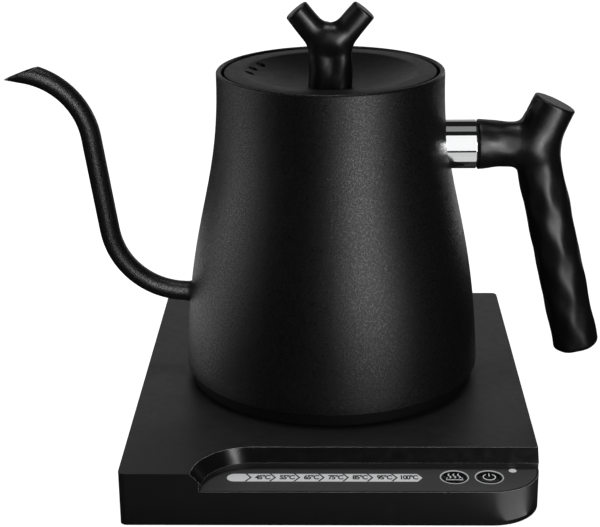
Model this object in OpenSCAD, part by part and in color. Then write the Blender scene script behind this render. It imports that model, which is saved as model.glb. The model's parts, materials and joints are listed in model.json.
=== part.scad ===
// Electric gooseneck kettle on a rectangular power base, with a branch-shaped handle and knob.
// All sizes are in millimetres. The origin is on the table, on the axis of the round connector that
// the jug turns on. +X points to the handle, -X to the spout, -Y to the control panel, +Z up.

/* [Power base] */
// Width of the base, left to right
base_w = 185; // [182:1:200]
// Depth of the base, front to back
base_d = 219; // [216:1:226]
// Height of the deck above the table
base_h = 26; // [25:0.5:30]
// Distance from the connector's axis to the base's back edge
axis_to_back = 103; // [100:1:106]
// Wall of the moulded housing
housing_wall = 2.5; // [2:0.1:2.8]
// Radius of the base's upright corners
corner_r = 3; // [2.9:0.1:6]
// Radius of the corner beside the control panel
panel_corner_r = 22; // [18:1:24]

/* [Control panel] */
// Depth of the recess, from the base's front to its back edge
recess_d = 26; // [25.5:0.5:27]
// Distance from the connector's axis to the recess's round left end
recess_reach = 61; // [58:1:64]
// Radius of the recess's round left end, at the deck
recess_r = 26; // [25:0.5:28]
// Height from the panel's surface to the deck
recess_drop = 8.7; // [8:0.1:9]
// Outer diameter of a button's light ring
ring_d = 12.8; // [12:0.1:13.2]
// How far a button travels
button_travel = 0.8; // [0.5:0.1:0.8]
// Length of one step of the temperature strip
strip_pitch = 10.6; // [10:0.1:10.8]
// Width of the temperature strip, front to back
strip_w = 7.1; // [6:0.1:7.4]

/* [Jug] */
// Radius of the steel body at its foot
jug_foot_r = 71.95; // [71.5:0.05:72.5]
// Height of the body's foot above the table
jug_foot_z = 32.7; // [32.5:0.1:33]
// Radius of the body at its rim
jug_rim_r = 53.8; // [53.6:0.1:54.5]
// Height of the rim above the table
jug_rim_z = 178.2; // [177:0.1:180]
// Wall of the steel body
jug_wall = 1.2; // [0.8:0.1:1.4]
// Radius of the lid
lid_r = 50; // [49.8:0.1:50.2]
// Depth of the lid's dish
lid_dish = 8; // [6:0.5:8.5]

/* [Spout] */
// Outer diameter of the gooseneck tube
spout_d = 9.7; // [9:0.1:10]
// Wall of the gooseneck tube
spout_wall = 0.8; // [0.6:0.1:0.9]
// Height of the tube's root above the table
spout_root_z = 66.5; // [60:0.5:72]
// Radius of the tube's two bends
spout_bend_r = 37; // [36:0.5:38]
// Length of the straight neck between the bends
spout_neck = 47; // [44:1:50]

/* [Handle] */
// Diameter of the grip
grip_d = 22.2; // [20:0.2:23]
// Length of the grip below the arm
grip_l = 107; // [95:1:107]
// Lean of the grip from upright, in degrees
grip_lean = 13.5; // [12:0.5:15]
// Lean of the stub above the arm, in degrees
stub_lean = 24; // [20:1:28]
// Diameter of the chrome ferrule
ferrule_d = 23.2; // [22:0.1:24]
// Height of the handle's arm above the table
arm_z = 141.3; // [138:0.1:144]

/* [Knob] */
// Diameter of each prong
prong_d = 12.4; // [11:0.1:13]
// Spread of each prong from upright, in degrees
prong_lean = 36; // [32:1:40]
// Length of each prong, from where they meet
prong_l = 26.6; // [22:0.1:27]

/* [Hidden] */
$fn = 96;

slop = 0.1;       // gap left around a piece that is fitted into another
bite = 1;         // how far a cutting shape runs past the surface it cuts
foot_h = 1;       // how far the rubber feet stand out under the base

// Base
half_w = base_w / 2;
base_front = axis_to_back - base_d;
deck_t = 2.5;
deck_under = base_h - deck_t;
cover_t = 2.5;
cover_top = foot_h + cover_t;
cover_post_x = 72;
cover_post_y = [-78, 84];
cover_post_h = 2;
boss_r = 4;
pillar_r = 2.5;
foot_r = 7;
foot_x = 80;
foot_y = [base_front + 26, axis_to_back - 12];
screw_r = 1.45;
screw_hole_r = 1.5;
screw_hole_l = 12;
screw_head_r = 2.8;
screw_head_h = 1.7;
screw_key_r = 1.2;
screw_seat = 2;
foot_seat = 1;
cover_screw_l = 11;

// Control panel: the wall behind it slopes down from the deck, and is undercut above the panel
panel_z = base_h - recess_drop;
panel_t = 2;
panel_floor = panel_z - panel_t;
panel_floor_t = 2;
panel_rim = 1.2;
recess_slope_run = 4.7;
recess_slope_drop = 5.5;
recess_undercut = 1.1;
recess_centre = [recess_r - recess_reach, base_front + recess_d - recess_r];
recess_gap_r = recess_r - recess_slope_run + recess_undercut;
button_x = [54.5, 69.9];
button_y = base_front + 14.2;
button_r = 5.65;
ring_bore_r = 5.75;
strip_left = -46;
strip_y = base_front + 13.5;
strip_steps = 8;
strip_point = 2.2;
strip_gap = 0.6;
strip_t = 1.6;
dot_at = [80.8, base_front + 20.3];
dot_r = 1.7;
board_z = 8;
board_t = 1.6;
board_top = board_z + board_t;
board_at = [-50, base_front + 10.5];
board_size = [131, 12];
board_pillar_x = [-40, 34];
led_size = [1.6, 1.2, 0.8];
led_hole_r = 1.5;
switch_size = 6;
switch_h = 3.2;
plunger_r = 1.7;
plunger_h = 2;
button_bottom = panel_floor + button_travel + 0.15;
stem_r = 1.6;
stem_play = 0.9;
stem_bottom = board_top + switch_h + 0.6;

// Power board, behind the connector
power_board_z = 7;
power_top = power_board_z + board_t;
power_board_at = [-62, 28];
power_board_size = [76, 62];
power_pillar_x = [6, 70];
power_pillar_y = [6, 56];
relay_size = [19, 15.5, 12];
core_size = [24, 20, 4];
winding_size = [24, 12, 5];
capacitor_size = [18, 8, 11];

// Round connector
hub_r = 22.9;
post_r = 16;
post_z = 34.3;
hub_z = base_h + 1;
slot_r = [9.6, 12.4];
slot_z = 29.3;
well_z = 27.5;
carousel_r = 8;
carousel_bore_r = 3;
running_gap = 0.05;
pin_r = 1.5;
pin_top = 31.5;
pin_collar_r = 3;
pin_collar_h = 1.5;
connector_drop = 8;
connector_lip = 2;
post_chamfer = 1;

// Cord gland: a block that sits in a slot of the back wall, between two flanges
gland_z = 12;
gland_bore_r = 3.6;
gland_w = 11;
gland_in = 7.5;
gland_top = gland_z + gland_w / 2;
gland_flange_r = 8.2;
gland_flange_t = 1.5;
gland_inner_flange_t = 3;

// Jug
skirt_r = 69.7;
skirt_bottom = base_h + 0.3;
skirt_t = 2.2;
web_z = 29.3;
web_t = 2;
web_top = web_z + web_t;
plate_z = 41;
plate_t = 1.5;
plate_r = 70.1;
stud_ring_r = 62;
skirt_stud_r = 3.5;
skirt_screw_l = 9;
spreader_t = 2.4;
spreader_r = [12, 55];
element_r = 3;
element_ring_r = 44;
element_gap = 40;
element_lead_r = 1.5;
element_lead_l = 13;
sensor_r = 3;
sensor_l = 8;
sensor_tip_r = 1.8;
sensor_seal_t = 1.6;
socket_r = 20;
socket_flange_r = 24;
socket_roof_z = 36;
socket_bottom = hub_z + 0.2;
socket_top = 38.3;
ring_tube_r = [10.6, 11.4];
pin_tube_r = [1.9, 2.6];
contacts_z = 30.9;
mouth_r = 51.3;
ledge_r = 48.3;
ledge_z = jug_rim_z - 14.2;

// Spout: it leaves the body almost level, turns up into the neck and turns out again at the tip
spout_r = spout_d / 2;
spout_bore_r = spout_r - spout_wall;
spout_root_x = 66;
spout_root_rise = 4;
spout_root_l = 8;
spout_neck_rise = 82;
spout_tip_rise = 11;
spout_tip_l = 22;
spout_lower_rings = 14;
spout_upper_rings = 12;
spout_tip_rings = 4;
spout_sides = 24;
tip_cut_at = [-139, 179.4];
tip_cut_fall = 20.5;

// Handle
arm_x = 69;
arm_r = 12.1;
seal_t = 0.6;
bracket_r = 8;
bracket_l = 11;
ferrule_l = 16;
joint_x = 97;
joint_r = 11.7;
grip_r = grip_d / 2;
stub_r = 10.7;
stub_l = 22.4;
limb_edge = 2.2;
stud_r = 3;
stud_in = 11;
stud_end = 88;

// Lid and knob
lid_z = jug_rim_z - 0.6;
lid_t = 1.5;
dish_r = [13, 42];
lid_wall_r = [47.5, 49.6];
gasket_r = 51;
gasket_z = [ledge_z + 3, ledge_z + 6];
vent_r = 2.25;
vent_ring_r = 38;
vent_step = 14;
dish_z = lid_z - lid_dish;
knob_stem_r = 7.3;
knob_stem_x = 2.8;
knob_fork_z = 185;
knob_screw_r = 2;
knob_screw_l = 12;
washer_t = 0.6;
washer_r = 6;
lid_plate_t = 1.2;

// Outline of the jug's steel body: a cubic curve that is upright at the foot and at the rim
body_curve = [
    [jug_foot_r, jug_foot_z], [jug_foot_r - 2.9, jug_foot_z + 75],
    [jug_rim_r, jug_rim_z - 59], [jug_rim_r, jug_rim_z - 5.2]
];
body_steps = 28;
function curve_point(c, t) =
    pow(1 - t, 3) * c[0] + 3 * pow(1 - t, 2) * t * c[1] + 3 * (1 - t) * t * t * c[2] + pow(t, 3) * c[3];
body_outline = [for (i = [0:body_steps]) curve_point(body_curve, i / body_steps)];

function smooth(t) = t * t * (3 - 2 * t);
function dish_height(r) =
    dish_z + lid_dish * smooth(max(0, min(1, (r - dish_r[0]) / (dish_r[1] - dish_r[0]))));

// ---- Shapes used more than once ----

// A ring with its bottom at z
module ring(outer, inner, z, h) {
    translate([0, 0, z]) difference() {
        cylinder(r = outer, h = h);
        translate([0, 0, -bite]) cylinder(r = inner, h = h + 2 * bite);
    }
}

// A cylinder that lies along X
module rod_x(r, x, length, z) {
    translate([x, 0, z]) rotate([0, 90, 0]) cylinder(r = r, h = length);
}

// The base's outline, drawn in from its edge by inset
module base_outline(inset) {
    r = max(corner_r - inset, 0.4);
    big = panel_corner_r - inset;
    left = inset - half_w;
    right = half_w - inset;
    front = base_front + inset;
    back = axis_to_back - inset;
    translate([left + r, front]) square([right - big - left - r, back - front]);
    translate([left, front + r]) square([right - left - big, back - front - 2 * r]);
    translate([right - big - slop, front + big]) square([big + slop, back - r - front - big]);
    translate([right - big - slop, back - big]) square([big + slop - r, big]);
    for (corner = [[left + r, front + r], [left + r, back - r], [right - r, back - r]])
        translate(corner) circle(r);
    translate([right - big, front + big]) circle(big);
}

module base_slab(inset, z, h) {
    translate([0, 0, z]) linear_extrude(h) base_outline(inset);
}

// Everything that a profile sweeps along the recess: round its left end, then straight to the right
module recess_sweep(profile, back_off) {
    translate([recess_centre[0], recess_centre[1], 0]) {
        rotate([0, 0, 90]) rotate_extrude(angle = 90) polygon(profile(0));
        rotate([90, 0, 90]) linear_extrude(base_w) polygon(profile(-back_off));
    }
}

recess_cut = function(from) [
    [from, panel_z], [recess_gap_r, panel_z],
    [recess_gap_r, base_h - recess_slope_drop],
    [recess_r - recess_slope_run, base_h - recess_slope_drop],
    [recess_r + bite * recess_slope_run / recess_slope_drop, base_h + bite], [from, base_h + bite]
];
recess_pocket = function(from) [
    [from, panel_floor], [recess_gap_r, panel_floor],
    [recess_gap_r, panel_z + slop], [from, panel_z + slop]
];
recess_shell = function(from) [
    [from, panel_floor - panel_floor_t], [recess_r + housing_wall, panel_floor - panel_floor_t],
    [recess_r + housing_wall, base_h + bite], [from, base_h + bite]
];
recess_panel = function(from) [
    [from, panel_floor], [recess_gap_r - slop, panel_floor],
    [recess_gap_r - slop, panel_z], [from, panel_z]
];

// One step of the temperature strip: an arrow that nests in the next one
module strip_step(i) {
    x = strip_left + i * strip_pitch;
    w = strip_w / 2;
    end = x + strip_pitch - strip_gap;
    tip = [[end, -w], [end + strip_point, 0], [end, w]];
    if (i == 0) {
        polygon(concat([[x + w, w], [x + w, -w]], tip));
        translate([x + w, 0]) circle(w);
    } else
        polygon(concat([[x, w], [x + strip_point, 0], [x, -w]], tip));
}

module at_buttons() {
    for (x = button_x) translate([x, button_y, 0]) children();
}

// The middle of each step of the strip, over its light
module at_strip_middles() {
    for (i = [0:strip_steps - 1])
        translate([strip_left + (i + 0.5) * strip_pitch, strip_y, 0]) children();
}

module at_cover_posts() {
    for (x = [-cover_post_x, cover_post_x], y = cover_post_y) translate([x, y, 0]) children();
}

module at_skirt_studs() {
    for (a = [30, 150, 270]) rotate([0, 0, a]) translate([stud_ring_r, 0, 0]) children();
}

// The solid inside the jug's outer surface, which the spout and the handle's fittings end against
module jug_outside() {
    rotate_extrude() polygon(concat([[0, jug_foot_z]], body_outline, [[0, jug_rim_z - 5.2]]));
}

// A screw that points up: its head is under z
module screw(z, length) {
    translate([0, 0, z]) cylinder(r = screw_r, h = length);
    translate([0, 0, z - screw_head_h]) difference() {
        cylinder(r = screw_head_r, h = screw_head_h);
        translate([0, 0, -bite]) cylinder(r = screw_key_r, h = 2 * bite, $fn = 6);
    }
}

// ---- The gooseneck tube ----

// A station is [x, z, rise]: a point on the tube's axis, and how steeply it climbs away from the jug
function ahead(s, l) = [s[0] - l * cos(s[2]), s[1] + l * sin(s[2]), s[2]];
function bend_to(s, rise) = let (r = spout_bend_r * sign(rise - s[2])) [
    s[0] - r * (sin(rise) - sin(s[2])), s[1] + r * (cos(s[2]) - cos(rise)), rise
];
degrees_per_mm = 180 / PI / spout_bend_r;

// The stations where the five stretches start: root, lower bend, neck, upper bend and tip
spout_root = [-spout_root_x, spout_root_z, spout_root_rise];
spout_lower = ahead(spout_root, spout_root_l);
spout_neck_foot = bend_to(spout_lower, spout_neck_rise);
spout_neck_head = ahead(spout_neck_foot, spout_neck);
spout_tip = bend_to(spout_neck_head, spout_tip_rise);

// How far along the axis each of them is
lower_l = spout_root_l;
neck_l = lower_l + (spout_neck_rise - spout_root_rise) / degrees_per_mm;
upper_l = neck_l + spout_neck;
tip_l = upper_l + (spout_neck_rise - spout_tip_rise) / degrees_per_mm;
function station(l) =
    l < lower_l ? ahead(spout_root, l)
    : l < neck_l ? bend_to(spout_lower, spout_root_rise + (l - lower_l) * degrees_per_mm)
    : l < upper_l ? ahead(spout_neck_foot, l - neck_l)
    : l < tip_l ? bend_to(spout_neck_head, spout_neck_rise - (l - upper_l) * degrees_per_mm)
    : ahead(spout_tip, l - tip_l);

// A point of the tube's skin: l along it, at radius r and angle a
function on_tube(l, r, a) = let (s = station(l))
    [s[0] + r * cos(a) * sin(s[2]), r * sin(a), s[1] + r * cos(a) * cos(s[2])];

// Radius of the jug's body at height z, and a point moved along X onto the body
function body_r(z) = lookup(z, [for (p = body_outline) [p[1], p[0]]]);
function on_jug(p) = [-sqrt(pow(body_r(p[2]), 2) - p[1] * p[1]), p[1], p[2]];

// Where a line along the tube's skin meets the sloping cut, found by halving the stretch
function under_cut(p) =
    (p[0] - tip_cut_at[0]) * sin(tip_cut_fall) + (tip_cut_at[1] - p[2]) * cos(tip_cut_fall) > 0;
function cut_l(r, a, low = upper_l, high = tip_l + spout_tip_l) =
    let (mid = (low + high) / 2)
    high - low < 0.01 ? mid
    : under_cut(on_tube(mid, r, a)) ? cut_l(r, a, mid, high)
    : cut_l(r, a, low, mid);

// The rings stand square to the axis up to just short of the cut, and then lean over onto it
spout_square_l = cut_l(spout_r, 0) - 1;
spout_lengths = concat(
    [0, lower_l],
    [for (i = [1:spout_lower_rings]) lower_l + (neck_l - lower_l) * i / spout_lower_rings],
    [for (i = [0:spout_upper_rings]) upper_l + (spout_square_l - upper_l) * i / spout_upper_rings]
);
spout_rings = len(spout_lengths) + spout_tip_rings;
function spout_point(i, r, a) = let (t = (i - len(spout_lengths) + 1) / spout_tip_rings)
    i == 0 ? on_jug(on_tube(0, r, a))
    : t <= 0 ? on_tube(spout_lengths[i], r, a)
    : on_tube(spout_square_l + t * (cut_l(r, a) - spout_square_l), r, a);

// Two triangles for each step along and around a skin of rings, whose first point is number from
function skin(from, rings, out) = [
    for (i = [0:rings - 2], k = [0:spout_sides - 1]) let (
        a = from + i * spout_sides + k, b = from + i * spout_sides + (k + 1) % spout_sides,
        c = a + spout_sides, d = b + spout_sides
    ) each out ? [[a, c, b], [b, c, d]] : [[a, b, c], [b, d, c]]
];
// The flat band that joins ring a of the outer skin to ring b of the bore
function band(a, b, out) = [
    for (k = [0:spout_sides - 1]) let (n = (k + 1) % spout_sides, p = [a + k, a + n, b + k, b + n])
        each out ? [[p[0], p[2], p[1]], [p[1], p[2], p[3]]] : [[p[0], p[1], p[2]], [p[1], p[3], p[2]]]
];

// ---- Power base ----

module top_housing() {
    color("#1f1f20") difference() {
        union() {
            difference() {
                base_slab(0, foot_h, base_h - foot_h);
                difference() {
                    base_slab(housing_wall, foot_h - bite, deck_under - foot_h + bite);
                    recess_sweep(recess_shell, recess_r);
                }
            }
            at_cover_posts() translate([0, 0, cover_top + cover_post_h])
                cylinder(r = boss_r, h = deck_under - cover_top - cover_post_h + slop);
        }
        recess_sweep(recess_cut, recess_r);
        intersection() {
            recess_sweep(recess_pocket, recess_r);
            base_slab(panel_rim, panel_floor - bite, base_h);
        }
        translate([0, 0, deck_under - bite]) cylinder(r = hub_r + slop, h = deck_t + 2 * bite);
        translate([0, 0, panel_floor - panel_floor_t - bite]) {
            floor_hole = panel_floor_t + 2 * bite;
            at_buttons() cylinder(r = stem_r + stem_play, h = floor_hole);
            translate(dot_at) cylinder(r = dot_r - 0.5, h = floor_hole);
            at_strip_middles() cylinder(r = led_hole_r, h = floor_hole);
        }
        at_cover_posts() translate([0, 0, cover_top]) cylinder(r = screw_hole_r, h = screw_hole_l);
        translate([-gland_w / 2 - slop, axis_to_back - housing_wall - bite, foot_h - bite])
            cube([gland_w + 2 * slop, housing_wall + 2 * bite, gland_top + slop - foot_h + bite]);
    }
}

module bottom_cover() {
    color("#18181a") difference() {
        union() {
            base_slab(housing_wall + slop, foot_h, cover_t);
            at_cover_posts() translate([0, 0, foot_h]) cylinder(r = boss_r, h = cover_t + cover_post_h);
            for (x = board_pillar_x) translate([x, button_y, cover_top - slop])
                cylinder(r = pillar_r, h = board_z - cover_top + slop);
            for (x = power_pillar_x, y = power_pillar_y)
                translate([power_board_at[0] + x, power_board_at[1] + y, cover_top - slop])
                    cylinder(r = pillar_r, h = power_board_z - cover_top + slop);
        }
        at_cover_posts() {
            translate([0, 0, foot_h - bite]) cylinder(r = screw_head_r + 0.3, h = screw_seat + bite);
            translate([0, 0, foot_h]) cylinder(r = screw_hole_r, h = cover_t + cover_post_h + bite);
        }
        at_feet() translate([0, 0, foot_h - bite]) cylinder(r = foot_r + slop, h = bite + foot_seat);
    }
}

// One foot under the middle, and one near each corner
module at_feet() {
    children();
    for (x = [-foot_x, foot_x], y = foot_y) translate([x, y, 0]) children();
}

module rubber_feet() {
    color("#101010") at_feet() {
        cylinder(r1 = foot_r - 0.6, r2 = foot_r, h = foot_h);
        translate([0, 0, foot_h]) cylinder(r = foot_r, h = foot_seat);
    }
}

module cover_screws() {
    color("#b8b8bc") at_cover_posts() screw(foot_h + screw_seat, cover_screw_l);
}

module control_panel() {
    hole = panel_t + 2 * bite;
    half = (strip_w + slop) / 2;
    strip_end = strip_left + strip_steps * strip_pitch - strip_gap;
    color("#2c2c2e") difference() {
        intersection() {
            recess_sweep(recess_panel, recess_r);
            base_slab(panel_rim + slop, panel_floor - bite, base_h);
        }
        translate([0, 0, panel_floor - bite]) {
            at_buttons() cylinder(d = ring_d + slop, h = hole);
            translate(dot_at) cylinder(r = dot_r + slop / 2, h = hole);
            translate([strip_left + strip_w / 2, strip_y]) {
                translate([0, -half]) cube([strip_end - strip_left - strip_w / 2, strip_w + slop, hole]);
                cylinder(r = half, h = hole);
            }
            translate([strip_end, strip_y]) linear_extrude(hole)
                polygon([[-bite, -half], [0, -half], [strip_point + slop, 0], [0, half], [-bite, half]]);
        }
    }
}

module temperature_strip() {
    color("#b9bbbd") translate([0, strip_y, panel_z - strip_t]) linear_extrude(strip_t)
        for (i = [0:strip_steps - 1]) strip_step(i);
}

module button_rings() {
    color("#e8eaec") at_buttons() ring(ring_d / 2, ring_bore_r, panel_floor, panel_t);
}

module indicator_lens() {
    color("#d8d8d8") translate([dot_at[0], dot_at[1], panel_floor])
        cylinder(r = dot_r, h = panel_t);
}

module button(i) {
    color("#0c0c0d") translate([button_x[i], button_y, 0]) {
        translate([0, 0, button_bottom]) cylinder(r = button_r, h = panel_z - button_bottom);
        translate([0, 0, stem_bottom]) cylinder(r = stem_r, h = button_bottom - stem_bottom + slop);
    }
}
module plunger(i) {
    color("#d8d2c4") translate([button_x[i], button_y, stem_bottom - plunger_h])
        cylinder(r = plunger_r, h = plunger_h);
}
module warm_button() { button(0); }
module power_button() { button(1); }
module warm_plunger() { plunger(0); }
module power_plunger() { plunger(1); }

module control_board() {
    color("#1f5a3a") translate([board_at[0], board_at[1], board_z])
        cube([board_size[0], board_size[1], board_t]);
}

module board_leds() {
    color("#f2efe2") translate([-led_size[0] / 2, -led_size[1] / 2, board_top]) {
        at_strip_middles() cube(led_size);
        translate(dot_at - [1, 1]) cube(led_size);
    }
}

module tact_switches() {
    color("#3a3a3c") at_buttons() difference() {
        translate([-switch_size / 2, -switch_size / 2, board_top])
            cube([switch_size, switch_size, switch_h]);
        translate([0, 0, board_top + 0.6]) cylinder(r = plunger_r + 0.08, h = switch_h);
    }
}

module power_board() {
    color("#24603f") translate([power_board_at[0], power_board_at[1], power_board_z])
        cube([power_board_size[0], power_board_size[1], board_t]);
}

module on_power_board(at) {
    translate([power_board_at[0] + at[0], power_board_at[1] + at[1], power_top]) children();
}
module relay() { color("#16406e") on_power_board([12, 12]) cube(relay_size); }
module filter_capacitor() { color("#c9a227") on_power_board([12, 38]) cube(capacitor_size); }
module transformer() {
    color("#5b4a2e") on_power_board([42, 30]) {
        cube(core_size);
        translate([0, (core_size[1] - winding_size[1]) / 2, core_size[2]]) cube(winding_size);
        translate([0, 0, core_size[2] + winding_size[2]]) cube(core_size);
    }
}

module cord_gland() {
    color("#141414") difference() {
        union() {
            translate([-gland_w / 2, axis_to_back - housing_wall - gland_in, cover_top + slop])
                cube([gland_w, gland_in + housing_wall, gland_top - cover_top - slop]);
            translate([-gland_w / 2, axis_to_back - housing_wall, foot_h])
                cube([gland_w, housing_wall, cover_top]);
            translate([0, axis_to_back, gland_z]) rotate([-90, 0, 0])
                cylinder(r = gland_flange_r, h = gland_flange_t);
            translate([0, axis_to_back - housing_wall, gland_z]) rotate([90, 0, 0])
                cylinder(r = gland_flange_r, h = gland_inner_flange_t);
        }
        translate([0, axis_to_back - 2 * gland_in, gland_z]) rotate([-90, 0, 0])
            cylinder(r = gland_bore_r, h = 3 * gland_in);
    }
}

// ---- Round connector ----

module connector_base() {
    bottom = deck_under - connector_drop;
    color("#0e0e0f") difference() {
        union() {
            translate([0, 0, bottom]) cylinder(r = hub_r, h = hub_z - bottom);
            translate([0, 0, deck_under - connector_lip])
                cylinder(r = hub_r + connector_lip, h = connector_lip);
            translate([0, 0, hub_z - slop])
                cylinder(r = post_r, h = post_z - post_chamfer - hub_z + slop);
            translate([0, 0, post_z - post_chamfer])
                cylinder(r1 = post_r, r2 = post_r - post_chamfer, h = post_chamfer);
        }
        translate([0, 0, well_z]) cylinder(r = carousel_r + running_gap, h = post_z);
        ring(slot_r[1], slot_r[0], slot_z, post_z);
        translate([0, 0, bottom - bite]) cylinder(r = pin_r + running_gap, h = post_z);
    }
}

module ring_contact() {
    color("#c9a24a") ring(slot_r[1] - 0.3, slot_r[0] + 0.3, slot_z, 1);
}

module centre_pin() {
    collar_z = deck_under - connector_drop - pin_collar_h;
    pin_bottom = collar_z - 2.5;
    color("#c9a24a") {
        translate([0, 0, pin_bottom]) cylinder(r = pin_r, h = pin_top - pin_bottom);
        translate([0, 0, collar_z]) cylinder(r = pin_collar_r, h = pin_collar_h);
    }
}

module contact_carousel() {
    color("#2a2a2c")
        ring(carousel_r, carousel_bore_r, well_z + running_gap, post_z - well_z - 6 * running_gap);
}

// ---- Jug ----

module jug_body() {
    inside = [for (i = [body_steps:-1:0]) if (body_outline[i][1] < ledge_z - 5)
        body_outline[i] - [jug_wall, 0]];
    color("#1c1c1d") difference() {
        rotate_extrude() polygon(concat(
            body_outline,
            [[jug_rim_r, jug_rim_z - 0.8], [jug_rim_r - 0.8, jug_rim_z],
             [mouth_r + 0.5, jug_rim_z], [mouth_r, jug_rim_z - 0.5],
             [mouth_r, ledge_z], [ledge_r, ledge_z], [ledge_r, ledge_z - 1.5]],
            inside
        ));
        translate([-spout_root_x - 8, 0, spout_root_z]) rotate([0, 90, 0])
            cylinder(r = spout_bore_r, h = 12);
    }
}

module jug_skirt() {
    color("#121213") difference() {
        union() {
            ring(skirt_r, skirt_r - skirt_t, skirt_bottom, plate_z - skirt_bottom);
            ring(skirt_r - slop, socket_r + slop, web_z, web_t);
        }
        at_skirt_studs() translate([0, 0, web_z - bite]) cylinder(r = screw_hole_r + 0.2, h = 6);
    }
}

module skirt_screws() {
    color("#b8b8bc") at_skirt_studs() screw(web_z, skirt_screw_l);
}

module heating_plate() {
    color("#b4b6b8") difference() {
        union() {
            translate([0, 0, plate_z]) cylinder(r = plate_r, h = plate_t);
            at_skirt_studs() translate([0, 0, web_top])
                cylinder(r = skirt_stud_r, h = plate_z - web_top + slop);
        }
        at_skirt_studs() translate([0, 0, web_top - bite]) cylinder(r = screw_hole_r, h = skirt_screw_l);
        translate([0, 0, plate_z - bite]) cylinder(r = sensor_r + slop, h = plate_t + 2 * bite);
    }
}

module heat_spreader() {
    color("#c8cacc") ring(spreader_r[1], spreader_r[0], plate_z - spreader_t, spreader_t);
}

module heating_element() {
    z = plate_z - spreader_t - slop - element_r;
    color("#8d8f92") translate([0, 0, z]) {
        rotate([0, 0, element_gap / 2]) rotate_extrude(angle = 360 - element_gap)
            translate([element_ring_r, 0]) circle(element_r);
        for (s = [-1, 1]) rotate([0, 0, s * (element_gap / 2 + element_r)])
            rod_x(element_lead_r, element_ring_r - element_r + bite - element_lead_l, element_lead_l, 0);
    }
}

module thermal_sensor() {
    color("#cfd1d3") translate([0, 0, socket_top + slop]) {
        cylinder(r = sensor_r, h = sensor_l);
        translate([0, 0, sensor_l])
            cylinder(r1 = sensor_r, r2 = sensor_tip_r, h = sensor_r - sensor_tip_r);
    }
}

module sensor_seal() {
    color("#7d3b2a") ring(2 * sensor_r, sensor_r, plate_z + plate_t, sensor_seal_t);
}

module jug_socket() {
    color("#0e0e0f") difference() {
        union() {
            translate([0, 0, socket_bottom]) cylinder(r = socket_r, h = socket_top - socket_bottom);
            translate([0, 0, web_top]) cylinder(r = socket_flange_r, h = web_t);
        }
        translate([0, 0, socket_bottom - bite])
            cylinder(r = post_r + 0.5, h = socket_roof_z - socket_bottom + bite);
    }
}

module socket_contacts() {
    color("#c9a24a") {
        for (tube = [ring_tube_r, pin_tube_r])
            ring(tube[1], tube[0], contacts_z, socket_roof_z - contacts_z);
    }
}

module spout() {
    points = [
        for (r = [spout_r, spout_bore_r], i = [0:spout_rings - 1], k = [0:spout_sides - 1])
            spout_point(i, r, k * 360 / spout_sides)
    ];
    bore = spout_rings * spout_sides;
    last = bore - spout_sides;
    color("#1c1c1d") polyhedron(points, concat(
        skin(0, spout_rings, true), skin(bore, spout_rings, false),
        band(0, bore, false), band(last, bore + last, true)
    ));
}

// ---- Handle ----

module handle_bracket() {
    color("#b4b6b8") difference() {
        rod_x(bracket_r, arm_x - ferrule_l, bracket_l, arm_z);
        rod_x(stud_r, arm_x - stud_in - slop, stud_in, arm_z);
        jug_outside();
    }
}

module handle_stud() {
    color("#a9abad") rod_x(stud_r - running_gap, arm_x - stud_in, stud_end - arm_x + stud_in, arm_z);
}

module handle_ferrule() {
    color("#e6e8ea") difference() {
        rod_x(ferrule_d / 2, arm_x - ferrule_l, ferrule_l, arm_z);
        rod_x(bracket_r + slop, arm_x - ferrule_l - bite, bracket_l + 2 * bite, arm_z);
        rod_x(stud_r + slop, arm_x - ferrule_l, ferrule_l + bite, arm_z);
        jug_outside();
    }
}

module ferrule_seal() {
    color("#0a0a0a") difference() {
        rod_x(ferrule_d / 2 - 0.6, arm_x, seal_t, arm_z);
        rod_x(stud_r + slop, arm_x - bite, seal_t + 2 * bite, arm_z);
    }
}

// A round limb from the joint, with a chamfered end
module limb(length, r1, r2) {
    cylinder(r1 = r1, r2 = r2, h = length - limb_edge);
    translate([0, 0, length - limb_edge]) cylinder(r1 = r2, r2 = r2 - limb_edge, h = limb_edge);
}

module handle_grip() {
    arm_start = arm_x + seal_t;
    color("#171718") difference() {
        union() {
            translate([arm_start, 0, arm_z]) rotate([0, 90, 0])
                cylinder(r1 = arm_r, r2 = grip_r, h = joint_x - arm_start);
            translate([joint_x, 0, arm_z]) {
                sphere(joint_r);
                rotate([0, 180 - grip_lean, 0]) limb(grip_l, grip_r - 0.3, grip_r);
                rotate([0, stub_lean, 0]) limb(stub_l, stub_r + 0.2, stub_r);
            }
        }
        rod_x(stud_r, arm_start - bite, stud_end + 0.5 - arm_start + bite, arm_z);
    }
}

// ---- Lid ----

module lid_cover() {
    steps = 14;
    radii = [for (i = [0:steps]) dish_r[0] + (dish_r[1] - dish_r[0]) * i / steps];
    dish = [for (r = radii) [r, dish_height(r)]];
    dish_under = [for (i = [steps:-1:0]) dish[i] - [0, lid_t]];
    color("#1b1b1c") difference() {
        rotate_extrude() polygon(concat(
            [[0, dish_z]], dish, [[lid_r - 0.4, lid_z], [lid_r, lid_z - 0.4], [lid_r, lid_z - lid_t]],
            dish_under, [[0, dish_z - lid_t]]
        ));
        for (i = [0:2]) rotate([0, 0, 180 - i * vent_step]) translate([vent_ring_r, 0, dish_z - lid_t])
            cylinder(r = vent_r, h = lid_dish + 2 * lid_t);
        translate([0, 0, dish_z - 2 * lid_t]) cylinder(r = knob_screw_r + slop, h = 3 * lid_t);
    }
}

module lid_skirt() {
    color("#141415") {
        ring(lid_wall_r[1], lid_wall_r[0], ledge_z, lid_z - lid_t - ledge_z);
        for (z = [gasket_z[0] - 1, gasket_z[1]]) ring(lid_wall_r[1] + 0.8, lid_wall_r[1] - 0.5, z, 1);
    }
}

module lid_gasket() {
    color("#55575a") ring(gasket_r, lid_wall_r[1], gasket_z[0], gasket_z[1] - gasket_z[0]);
}

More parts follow.
